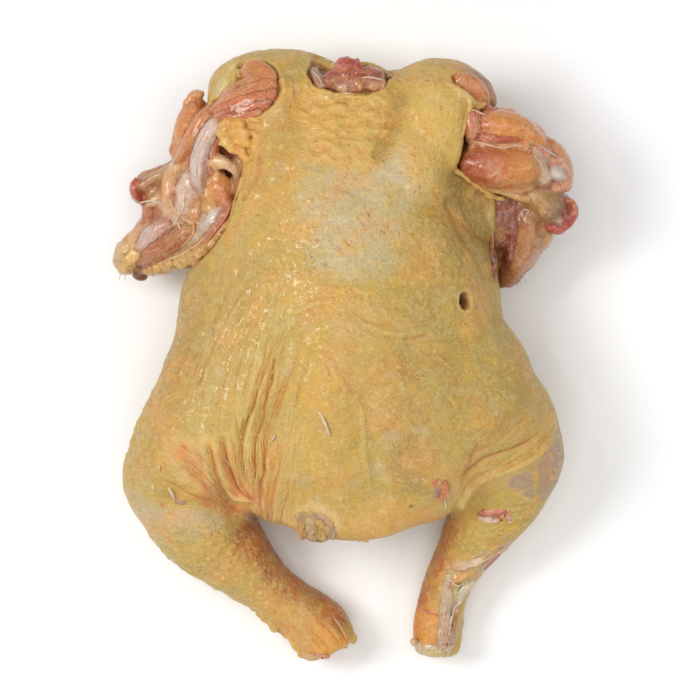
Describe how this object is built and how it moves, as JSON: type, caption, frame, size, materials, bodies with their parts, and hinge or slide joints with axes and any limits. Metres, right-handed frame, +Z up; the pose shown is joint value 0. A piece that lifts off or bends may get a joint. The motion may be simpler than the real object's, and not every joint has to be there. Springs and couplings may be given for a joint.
{
  "type": "raw chicken",
  "caption": "Whole raw plucked chicken lying on its breast, back up, with wings half skinned, wing tips, head and feet cut off.",
  "frame": {"origin": "on the table under the middle of the bird's box, between its two flanks and between neck and hocks", "axes": "+Z up from the table through the back, +Y from the tail towards the neck, +X towards the bird's side on the right as seen from above"},
  "size_m": [0.2116, 0.278, 0.0909],
  "materials": {
    "skin": "moist raw skin, satin"
  },
  "bodies": {
    "root": {"chicken": "skin"}
  },
  "joints": []
}
